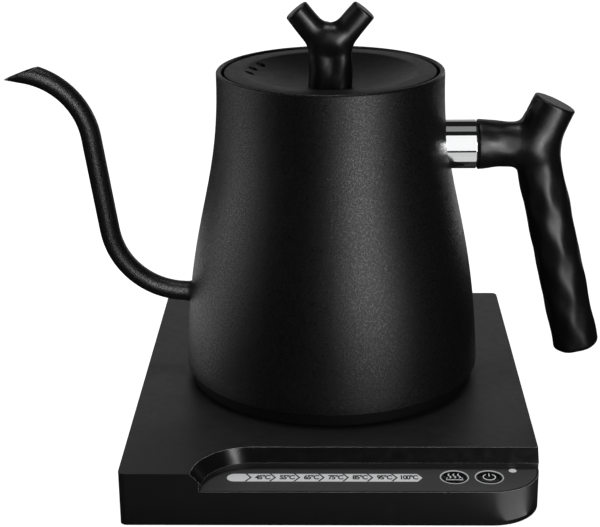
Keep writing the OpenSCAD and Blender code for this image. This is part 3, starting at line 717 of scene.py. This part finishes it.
GRIP_END = from_joint(106.6 * MM, math.radians(180 - 13.5))
STUB_END = from_joint(22.2 * MM, math.radians(24))
GRIP_WAVES = [(0.17 * MM, 5, 23 * MM, 1.0), (0.13 * MM, 7, -31 * MM, 0.4), (0.07 * MM, 2, 40 * MM, 0)]
ARM_WAVES = [(0.12 * MM, 5, 19 * MM, 2.0), (0.08 * MM, 7, -13 * MM, 0.0)]


def build_handle():
    """The branch: an arm with a slight waist, the grip below it and a short stub above it."""
    start = (ARM_X + 0.6 * MM, 0, ARM_Z)

    def field(p):
        waist = np.sin(math.pi * np.clip((p[..., 0] - start[0]) / WAIST_L, 0, 1))
        dents = whittled(p, start, JOINT, ARM_WAVES) * waist
        arm = capsule(p, JOINT, start, LIMB_R, ARM_ROOT_R, 0.7 * MM, dents - WAIST_DEPTH * waist ** 2)
        along = np.linalg.norm(p - np.array(JOINT), axis=-1)
        fade = np.clip((along - 6 * MM) / (16 * MM), 0, 1)
        dents = whittled(p, JOINT, GRIP_END, GRIP_WAVES)
        grip = capsule(p, JOINT, GRIP_END, LIMB_R, GRIP_END_R, 2.4 * MM, dents * fade)
        stub = capsule(p, JOINT, STUB_END, LIMB_R, STUB_END_R, 0.8 * MM, dents * 0.5)
        limb = blend_min(stub, grip, 5 * MM)
        lower = np.clip(0.5 - (p[..., 2] - ARM_Z) / (12 * MM), 0, 1)
        return blend_min(limb, arm, 1.8 * MM + 1.6 * MM * lower)

    low = np.array((ARM_X - 1 * MM, -14 * MM, GRIP_END[2] - 6 * MM))
    high = np.array((GRIP_END[0] + 14 * MM, 14 * MM, STUB_END[2] + 8 * MM))
    verts, faces = surface_of(field, low, high, 0.8 * MM)
    piece("branch_handle", verts, faces, "branch_black", "handle_grip", ("handle_grip",), sharp=60)


def build_ferrule():
    """The chrome sleeve: its outer end is rounded, and its root follows the jug's side."""
    turns, edge = 128, 0.3 * MM
    rows = [(FERRULE_R - edge * (1 - math.sin(a)), ARM_X - edge * (1 - math.cos(a)))
            for a in quarter(5)]
    rows += [(FERRULE_R, ARM_X - 2 * edge), (FERRULE_R, ARM_X - 4 * MM), (FERRULE_R, None)]
    verts, faces = [], []
    for r, x in rows:
        for k in range(turns):
            a = 2 * math.pi * k / turns
            y, z = r * math.cos(a), ARM_Z + r * math.sin(a)
            root = math.sqrt(max(jug_radius(z) ** 2 - y * y, 0)) - 0.25 * MM
            verts.append((root if x is None else x, y, z))
    for i in range(len(rows) - 1):
        for k in range(turns):
            n = (k + 1) % turns
            faces.append((i * turns + k, i * turns + n, (i + 1) * turns + n, (i + 1) * turns + k))
    faces.append(tuple(range(turns)))
    faces.append(tuple((len(rows) - 1) * turns + k for k in range(turns))[::-1])
    piece("ferrule_sleeve", verts, faces, "chrome", "handle_ferrule", ("handle_ferrule",), sharp=40)


# ---------------------------------------------------------------- lid and knob

DISH_R = 41.5 * MM
LID_EDGE = 0.8 * MM
VENTS, VENT_STEP = 3, 14
VENT_R, VENT_RING_R = 2.25 * MM, 38 * MM


def build_lid():
    """The cover: a shallow dish in a flat rim, with a row of vents over the spout."""
    depth = LID_Z - DISH_Z
    top = [(0, DISH_Z)]
    top += [(DISH_R * t, DISH_Z + depth * t * t) for t in np.linspace(0.06, 0.97, 30)]
    top += [(DISH_R * 0.99, LID_Z - 0.10 * MM), (DISH_R + 0.6 * MM, LID_Z)]
    top += [(LID_R - LID_EDGE + LID_EDGE * math.sin(a), LID_Z - LID_EDGE + LID_EDGE * math.cos(a))
            for a in quarter(6)]
    under = [(LID_R, LID_Z - LID_T), (DISH_R + 1 * MM, LID_Z - LID_T)]
    under += [(DISH_R * t, DISH_Z + depth * t * t - LID_T) for t in np.linspace(0.97, 0.06, 16)]
    under += [(0, DISH_Z - LID_T)]
    verts, faces = lathe(top + under, turns=192)
    cover = piece("lid_dish", verts, faces, "satin_coat", "lid_cover", ("lid_cover",), sharp=30)
    high = RIM_Z + 5 * MM
    drills = []
    for i in range(VENTS):
        a = math.radians(180 - VENT_STEP * i)
        at = (VENT_RING_R * math.cos(a), VENT_RING_R * math.sin(a), 0)
        drills.append(lathe([(0, DISH_Z), (VENT_R, DISH_Z), (VENT_R, high), (0, high)], turns=40, at=at))
    drilled(cover, *merged(drills))
    cover.data.set_sharp_from_angle(angle=math.radians(30))


# Half the distance between the two limbs at the foot, at the knee and at the ends
KNOB_FOOT_X, KNOB_KNEE_X, KNOB_END_X = 4.3 * MM, 4.0 * MM, 16.0 * MM
KNOB_FOOT_Z, KNOB_KNEE_Z, KNOB_END_Z = DISH_Z - 0.3 * MM, DISH_Z + 21.8 * MM, DISH_Z + 36.5 * MM
STEM_R, STEM_FOOT_R = 6.0 * MM, 6.1 * MM
PRONG_R, PRONG_END_R = 6.5 * MM, 6.0 * MM
KNOB_WAVES = [(0.16 * MM, 3, 24 * MM, 0.6), (0.1 * MM, 5, -15 * MM, 2.0)]


def build_knob():
    """Two limbs that are grown together up the stem and part into a Y."""

    def field(p):
        dents = whittled(p, (0, 0, KNOB_FOOT_Z), (0, 0, KNOB_KNEE_Z), KNOB_WAVES)
        halves = []
        for side in (-1, 1):
            foot = (side * KNOB_FOOT_X, 0, KNOB_FOOT_Z)
            knee = (side * KNOB_KNEE_X, 0, KNOB_KNEE_Z)
            end = (side * KNOB_END_X, 0, KNOB_END_Z)
            stem = capsule(p, knee, foot, STEM_R, STEM_FOOT_R, 0.4 * MM, dents)
            prong = capsule(p, knee, end, PRONG_R, PRONG_END_R, 0.9 * MM, dents * 0.5)
            halves.append(blend_min(stem, prong, 2.5 * MM))
        rise = np.clip((p[..., 2] - DISH_Z - 15 * MM) / (11 * MM), 0, 1)
        return blend_min(halves[0], halves[1], 4.4 * MM + 3.6 * MM * rise)

    low = np.array((-24 * MM, -9 * MM, DISH_Z - 1.5 * MM))
    high = np.array((24 * MM, 9 * MM, DISH_Z + 44 * MM))
    verts, faces = surface_of(field, low, high, 0.5 * MM)
    piece("branch_knob", verts, faces, "branch_black", "knob", ("knob",), sharp=60)


# ---------------------------------------------------------------- control panel

STRIP_LOW, STRIP_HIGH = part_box("temperature_strip")
STRIP_Y = (STRIP_LOW.y + STRIP_HIGH.y) / 2
STRIP_HALF_W = (STRIP_HIGH.y - STRIP_LOW.y) / 2
STRIP_POINT = 2.2 * MM
STEP_L = 10.75 * MM
# Where a step's label and its chevron stand, from the start of the step
LABEL_X, CHEVRON_X = 5.2 * MM, -1.9 * MM
CHEVRON_LINE = 0.85 * MM
LABELS = ["", "45°C", "55°C", "65°C", "75°C", "85°C", "95°C", "100°C"]
# The width and height of the lettering's type size, and how far print stands up from its ground
TYPE_SIZE = (3.65 * MM, 5.2 * MM)
PRINT_RISE = 0.02 * MM

RING_BORE_R = 5.75 * MM
RING_R = (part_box("button_rings")[1].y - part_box("button_rings")[0].y) / 2
RING_LINE = 0.5 * MM
BUTTONS = ("warm_button", "power_button")
CAP_EDGE, CAP_T, KEY_STEM_R = 0.5 * MM, 1.05 * MM, 1.6 * MM
ICON_LINE = 0.42 * MM


def text_mesh(words, size, at):
    """Raised lettering as a mesh, centred on a point. The offset makes its strokes bolder."""
    curve = bpy.data.curves.new("text", "FONT")
    curve.body, curve.align_x, curve.align_y = words, "CENTER", "CENTER"
    curve.offset = 0.032
    curve.space_character = 0.84
    curve.resolution_u = 4
    obj = bpy.data.objects.new("text", curve)
    bpy.context.scene.collection.objects.link(obj)
    bpy.context.view_layer.update()
    mesh = bpy.data.meshes.new_from_object(obj)
    bm = bmesh.new()
    bm.from_mesh(mesh)
    rim = bmesh.ops.extrude_face_region(bm, geom=bm.faces[:])
    for v in [g for g in rim["geom"] if isinstance(g, bmesh.types.BMVert)]:
        v.co.z += 0.05
    verts = [(v.co.x * size[0] + at[0], v.co.y * size[1] + at[1], v.co.z * MM + at[2])
             for v in bm.verts]
    faces = [[v.index for v in f.verts] for f in bm.faces]
    bm.free()
    bpy.data.objects.remove(obj)
    return verts, faces


def slab(outline, low, high, edge=0.0):
    """A plate of any outline, run anticlockwise, with its upper edge rounded inwards by edge."""
    points = [Vector(p) for p in outline]
    n = len(points)
    rings = [(0.0, low), (0.0, high - edge)]
    if edge:
        rings += [(edge * (1 - math.cos(a)), high - edge * (1 - math.sin(a)))
                  for a in (math.pi / 6, math.pi / 3, math.pi / 2)]
    verts = []
    for inset, z in rings:
        for i, p in enumerate(points):
            along = (points[(i + 1) % n] - points[i - 1]).normalized()
            verts.append((p.x - along.y * inset, p.y + along.x * inset, z))
    faces = [(k * n + i, k * n + (i + 1) % n, (k + 1) * n + (i + 1) % n, (k + 1) * n + i)
             for k in range(len(rings) - 1) for i in range(n)]
    top = (len(rings) - 1) * n
    return verts, faces + [tuple(range(n))[::-1], tuple(range(top, top + n))]


def ribbon(points, width, low, high):
    """A raised flat line of even width along points in the plane."""
    pts = [Vector(p) for p in points]
    verts = []
    for i, p in enumerate(pts):
        along = (pts[min(i + 1, len(pts) - 1)] - pts[max(i - 1, 0)]).normalized()
        off = Vector((-along.y, along.x)) * width / 2
        for q in (p + off, p - off):
            verts += [(q.x, q.y, high), (q.x, q.y, low)]
    faces = []
    for i in range(len(pts) - 1):
        a, b = 4 * i, 4 * (i + 1)
        faces += [(a, b, b + 2, a + 2), (a + 1, a + 3, b + 3, b + 1)]
        faces += [(a, a + 1, b + 1, b), (a + 2, b + 2, b + 3, a + 3)]
    end = 4 * (len(pts) - 1)
    faces += [(0, 2, 3, 1), (end, end + 1, end + 3, end + 2)]
    return verts, faces


def centre_of(node):
    """The middle of a CAD node's box."""
    low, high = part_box(node)
    return (low + high) / 2


def build_strip():
    """The temperature strip: a frosted lens with printed numbers, and dark chevrons between them."""
    parts = []
    for i, words in enumerate(LABELS):
        if words:
            x = STRIP_LOW.x + i * STEP_L + LABEL_X
            parts.append(text_mesh(words, TYPE_SIZE, (x, STRIP_Y, PANEL_Z + PRINT_RISE)))
    verts, faces = merged(parts)
    piece("strip_numbers", verts, faces, "print_dark", "temperature_strip")

    half = STRIP_HALF_W
    left, right = STRIP_LOW.x + half, STRIP_HIGH.x - STRIP_POINT
    lens = [(left - half * math.sin(a), STRIP_Y + half * math.cos(a))
            for a in np.linspace(0, math.pi, 25)]
    lens += [(right, STRIP_Y - half), (right + STRIP_POINT, STRIP_Y), (right, STRIP_Y + half)]
    verts, faces = slab(lens, STRIP_LOW.z, PANEL_Z, 0.12 * MM)
    piece("strip_lens", verts, faces, "strip", "temperature_strip", ("temperature_strip",))

    h = half - 0.1 * MM
    parts = []
    for i in range(1, len(LABELS)):
        x = STRIP_LOW.x + i * STEP_L + CHEVRON_X
        chevron = [(x, STRIP_Y - h), (x + STRIP_POINT, STRIP_Y), (x, STRIP_Y + h)]
        outline = chevron[::-1] + [(px - CHEVRON_LINE, py) for px, py in chevron]
        parts.append(slab(outline, PANEL_Z - 0.3 * MM, PANEL_Z + PRINT_RISE))
    verts, faces = merged(parts)
    piece("strip_chevrons", verts, faces, "print_dark", "temperature_strip")


def build_rings():
    """Round each button a dark bezel, with a thin light line at its outer edge."""
    low, seat, line_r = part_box("button_rings")[0].z, PANEL_Z - 0.3 * MM, RING_R - RING_LINE
    edge = 0.1 * MM
    bezel = [(RING_BORE_R, low), (RING_R, low), (RING_R, seat), (RING_BORE_R, seat)]
    line = [(line_r, seat), (RING_R, seat), (RING_R, PANEL_Z - edge), (RING_R - edge, PANEL_Z),
            (line_r + edge, PANEL_Z), (line_r, PANEL_Z - edge)]
    middles = [(centre_of(node).x, centre_of(node).y, 0) for node in BUTTONS]
    verts, faces = merged([lathe(bezel, turns=96, at=at) for at in middles])
    piece("ring_bezels", verts, faces, "button", "button_rings", ("button_rings",))
    # The light lines glow: painted highlight
    verts, faces = merged([lathe(line, turns=96, at=at) for at in middles])
    piece("ring_lines", verts, faces, "ring", "button_rings")


def build_button(node, icon):
    """A push button: a glossy cap with a soft edge on a thin stem, and its printed icon."""
    c = centre_of(node)
    parts = [ribbon([(c.x + x, c.y + y) for x, y in points], ICON_LINE, PANEL_Z - 0.05 * MM,
                    PANEL_Z + 0.04 * MM) for points in icon]
    verts, faces = merged(parts)
    # Light print whose glow is painted highlight
    piece(node + "_icon", verts, faces, "light_print_painted_glow", node)

    r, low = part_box(node)[1].x - c.x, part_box(node)[0].z
    top, under = PANEL_Z - 0.03 * MM, PANEL_Z - CAP_T
    outline = [(0, top), (r * 0.5, top)]
    outline += [(r - CAP_EDGE * (1 - math.sin(a)), top - CAP_EDGE * (1 - math.cos(a)))
                for a in quarter(6)]
    outline += [(r, under), (KEY_STEM_R, under), (KEY_STEM_R, low), (0, low)]
    verts, faces = lathe(outline, turns=96, at=(c.x, c.y, 0))
    piece(node + "_cap", verts, faces, "button", node, (node,))


def build_indicator():
    """The small round lens at the end of the panel."""
    c = centre_of("indicator_lens")
    r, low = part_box("indicator_lens")[1].x - c.x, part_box("indicator_lens")[0].z
    dome = [(r * math.sin(a), PANEL_Z - 0.05 * MM + 0.25 * MM * math.cos(a)) for a in quarter(8)]
    verts, faces = lathe(dome + [(r, low), (0, low)], turns=64, at=(c.x, c.y, 0))
    piece("indicator_dome", verts, faces, "strip", "indicator_lens", ("indicator_lens",))


def warm_icon():
    """Three lines of steam over a dish."""
    pitch, sway, low, height = 2.1 * MM, 0.55 * MM, -1.1 * MM, 4.0 * MM
    steam = [[(x + sway * math.sin(t * 2 * math.pi), low + height * t) for t in np.linspace(0, 1, 17)]
             for x in (-pitch, 0, pitch)]
    w, foot, rim, flare = 3.7 * MM, -2.6 * MM, -0.7 * MM, 0.5 * MM
    return steam + [[(-w + flare, rim), (-w, foot), (w, foot), (w - flare, rim)]]


def power_icon():
    """A broken ring and a stroke."""
    r, gap = 2.7 * MM, 0.55
    ring = [(r * math.sin(a), r * math.cos(a)) for a in np.linspace(gap, 2 * math.pi - gap, 41)]
    return [ring, [(0, 0.6 * MM), (0, 3.1 * MM)]]


# ---------------------------------------------------------------- CAD nodes that keep their shape

# Material and width of the rounded edges, for each node
KEPT = {
    "top_housing": ("housing", 0.5 * MM), "bottom_cover": ("cover", 0.3 * MM),
    "rubber_feet": ("rubber", 0.2 * MM), "cover_screws": ("zinc", 0.15 * MM),
    "control_panel": ("panel", 0.25 * MM), "warm_plunger": ("ivory", 0.15 * MM),
    "power_plunger": ("ivory", 0.15 * MM), "control_board": ("board", 0.1 * MM),
    "board_leds": ("led", 0.12 * MM), "tact_switches": ("switch", 0.2 * MM),
    "power_board": ("board", 0.1 * MM), "relay": ("relay", 0.5 * MM),
    "transformer": ("winding", 0.5 * MM), "filter_capacitor": ("film", 0.6 * MM),
    "cord_gland": ("rubber", 0.4 * MM), "connector_base": ("connector", 0.4 * MM),
    "ring_contact": ("brass", 0.15 * MM), "centre_pin": ("brass", 0.3 * MM),
    "contact_carousel": ("connector", 0.3 * MM), "skirt_screws": ("zinc", 0.15 * MM),
    "heating_plate": ("steel", 0.3 * MM), "heat_spreader": ("aluminium", 0.3 * MM),
    "heating_element": ("dark_steel", 0.0), "thermal_sensor": ("steel", 0.25 * MM),
    "sensor_seal": ("silicone", 0.3 * MM), "jug_socket": ("connector", 0.4 * MM),
    "socket_contacts": ("brass", 0.12 * MM), "handle_bracket": ("steel", 0.25 * MM),
    "handle_stud": ("zinc", 0.3 * MM), "ferrule_seal": ("rubber", 0.12 * MM),
    "lid_skirt": ("housing", 0.25 * MM), "lid_gasket": ("gasket", 0.5 * MM),
    "lid_plate": ("steel", 0.25 * MM), "knob_screw": ("zinc", 0.25 * MM),
    "knob_washer": ("zinc", 0.12 * MM),
}

# What surrounds the recess: nothing left of the one line or behind the other belongs to it
RECESS_LEFT, RECESS_BACK = -62 * MM, -89.5 * MM
# The housing's own colour, a painted highlight for the recess's edges and a painted shade for its
# sloping wall
FINISHES = ("housing", "painted_edge_highlight", "recess_wall_painted_shade")


def housing_finish(face, edge):
    """The edges round the panel's recess get a much lighter colour, a painted highlight. Its sloping
    wall is glossy and darker than the rest of the housing, a painted shade.
    """
    p = face.calc_center_median()
    if p.x < RECESS_LEFT or p.y > RECESS_BACK or p.z < PANEL_Z - 0.4 * MM:
        return FINISHES.index("housing")
    # Rounded edges round the recess get the painted highlight
    if edge:
        return FINISHES.index("painted_edge_highlight")
    # The sloping wall gets the darker colour, a painted shade
    sloping = 0.2 < face.normal.z < 0.95
    return FINISHES.index("recess_wall_painted_shade" if sloping else "housing")


def build_kept():
    """The nodes that keep the CAD's shape: only their edges are rounded."""
    for node, (material, width) in KEPT.items():
        finish = housing_finish if node == "top_housing" else None
        refined(node + "_piece", node, material, width, finish=finish)


# ---------------------------------------------------------------- stage, light and camera

def build_stage():
    """A pale floor that glows by itself, and an almost black world."""
    bpy.ops.mesh.primitive_plane_add(size=8, location=(0, 0, 0))
    floor = bpy.context.object
    floor.name = "floor"
    mat, _, shader = new_material("floor")
    shader.inputs["Base Color"].default_value = (0.9, 0.9, 0.9, 1)
    shader.inputs["Roughness"].default_value = 0.9
    shader.inputs["Specular IOR Level"].default_value = 0.0
    shader.inputs["Emission Color"].default_value = (1, 1, 1, 1)
    shader.inputs["Emission Strength"].default_value = 0.95
    floor.data.materials.append(mat)
    floor.visible_glossy = False
    floor.visible_diffuse = False

    world = bpy.data.worlds.new("studio")
    bpy.context.scene.world = world
    world.use_nodes = True
    background = world.node_tree.nodes["Background"]
    background.inputs["Color"].default_value = (0.012, 0.012, 0.013, 1)
    background.inputs["Strength"].default_value = 1.0
    bpy.context.scene.view_settings.view_transform = "Standard"


def softbox(name, at, aim, width, height, power, lit=(), unlit=()):
    """A flat soft light, out of the camera's sight.

    It can be flagged: lit names the only pieces that it lights, unlit those that it leaves out."""
    light = bpy.data.lights.new(name, "AREA")
    light.shape, light.size, light.size_y, light.energy = "RECTANGLE", width, height, power
    obj = bpy.data.objects.new(name, light)
    obj.location = at
    obj.rotation_euler = (Vector(aim) - Vector(at)).to_track_quat("-Z", "Y").to_euler()
    obj.visible_camera = False
    bpy.context.scene.collection.objects.link(obj)
    if lit or unlit:
        flagged = bpy.data.collections.new("flagged_" + name)
        for piece_name in lit + unlit:
            flagged.objects.link(bpy.data.objects[piece_name])
        for entry in flagged.collection_objects:
            entry.light_linking.link_state = "INCLUDE" if lit else "EXCLUDE"
        obj.light_linking.receiver_collection = flagged


def floor_card(name, x, y, width, depth, power, z=0.003, lit=(), unlit=()):
    """A soft light that lies on the floor, or at another height, and shines upwards."""
    softbox(name, (x, y, z), (x, y, z + 1), width, depth, power, lit, unlit)


def build_lights():
    """Broad lights on both sides, behind and above, and cards that are there for single pieces."""
    ferrule, handle, knob = ("ferrule_sleeve",), ("branch_handle",), ("branch_knob",)
    spout, base = ("spout_tube",), ("top_housing_piece",)
    softbox("side_left", (-1.00, 0.07, 0.32), (0, 0, 0.12), 0.82, 0.80, 2.9, unlit=spout)
    floor_card("floor_left", -0.32, 0.16, 0.34, 0.36, 0.27, unlit=spout)
    softbox("strip_right", (0.53, -1.01, 0.28), (0, 0, 0.12), 0.19, 0.56, 4.6, unlit=spout)
    floor_card("floor_right", 0.27, -0.50, 0.16, 0.45, 1.4, unlit=base + spout)
    softbox("rim_right", (0.50, 1.15, 0.13), (0, 0, 0.10), 0.24, 0.25, 0.45, unlit=handle)
    floor_card("floor_back", 0.28, 0.45, 0.2, 0.3, 0.18)
    softbox("back", (0.0, 1.5, 0.55), (0, 0, 0.10), 2.6, 0.9, 2.7)
    softbox("top", (0.0, 0.05, 1.3), (0, 0, 0), 0.35, 0.35, 1.9, unlit=ferrule)

    # Base: the deck, the recess's wall, the rounded corner and the front
    softbox("card_deck", (0.0, 0.05, 1.3), (0, 0, 0), 0.35, 0.35, 4.5, lit=base)
    softbox("card_recess", (0.91, -1.09, 2.10), (-0.05, -0.09, 0.02), 0.5, 0.5, 7.5, lit=base)
    floor_card("card_corner", 0.114, -0.147, 0.075, 0.075, 0.034, lit=base)
    floor_card("card_face", -0.01, -0.16, 0.22, 0.06, 0.002, lit=base)

    # Spout, handle and knob
    softbox("card_spout", (-0.06, -0.62, 0.30), (-0.11, 0, 0.14), 0.1, 0.6, 3.2, lit=spout)
    softbox("card_branch", (0.13, -0.47, 0.405), (0.13, 0, 0.405), 0.15, 0.81, 0.66,
            lit=handle + knob)

    # Ferrule: a bright band above, in front and below, with the jug turned to either side
    for end, side in (("near", 1), ("far", -1)):
        softbox("card_top_" + end, (side * 0.06, 0.02, 1.3), (side * 0.06, 0, 0), 0.35, 0.62, 0.17,
                lit=ferrule)
        softbox("card_front_" + end, (side * 0.13, -0.47, 0.405), (side * 0.13, 0, 0.405), 0.15, 0.81,
                0.41, lit=ferrule)
        floor_card("card_floor_" + end, side * 0.10, -0.115, 0.07, 0.17, 0.024, z=0.05, lit=ferrule)


CAMERA_AT = Vector((0.00362, -0.70302, 0.33406))
CAMERA_DOWN, CAMERA_TURN, CAMERA_ROLL = math.radians(19.794), math.radians(-1.541), math.radians(0.659)
CAMERA_LENS, CAMERA_SENSOR = 91.29, 36


def build_camera():
    """The picture's view: from the front, looking down at about 20 degrees."""
    level = math.cos(CAMERA_DOWN)
    forward = Vector((math.sin(CAMERA_TURN) * level, math.cos(CAMERA_TURN) * level,
                      -math.sin(CAMERA_DOWN)))
    right = Vector((math.cos(CAMERA_TURN), -math.sin(CAMERA_TURN), 0))
    up = right.cross(forward)
    c, s = math.cos(CAMERA_ROLL), math.sin(CAMERA_ROLL)
    axes = Matrix((right * c - up * s, right * s + up * c, -forward)).transposed()
    data = bpy.data.cameras.new("camera")
    data.lens, data.sensor_width, data.clip_start = CAMERA_LENS, CAMERA_SENSOR, 0.05
    cam = bpy.data.objects.new("camera", data)
    cam.matrix_world = Matrix.Translation(CAMERA_AT) @ axes.to_4x4()
    bpy.context.scene.collection.objects.link(cam)
    bpy.context.scene.camera = cam


build_camera()
build_jug()
build_skirt()
build_spout()
build_handle()
build_ferrule()
build_lid()
build_knob()
build_strip()
build_rings()
build_button("warm_button", warm_icon())
build_button("power_button", power_icon())
build_indicator()
build_kept()
build_stage()
build_lights()
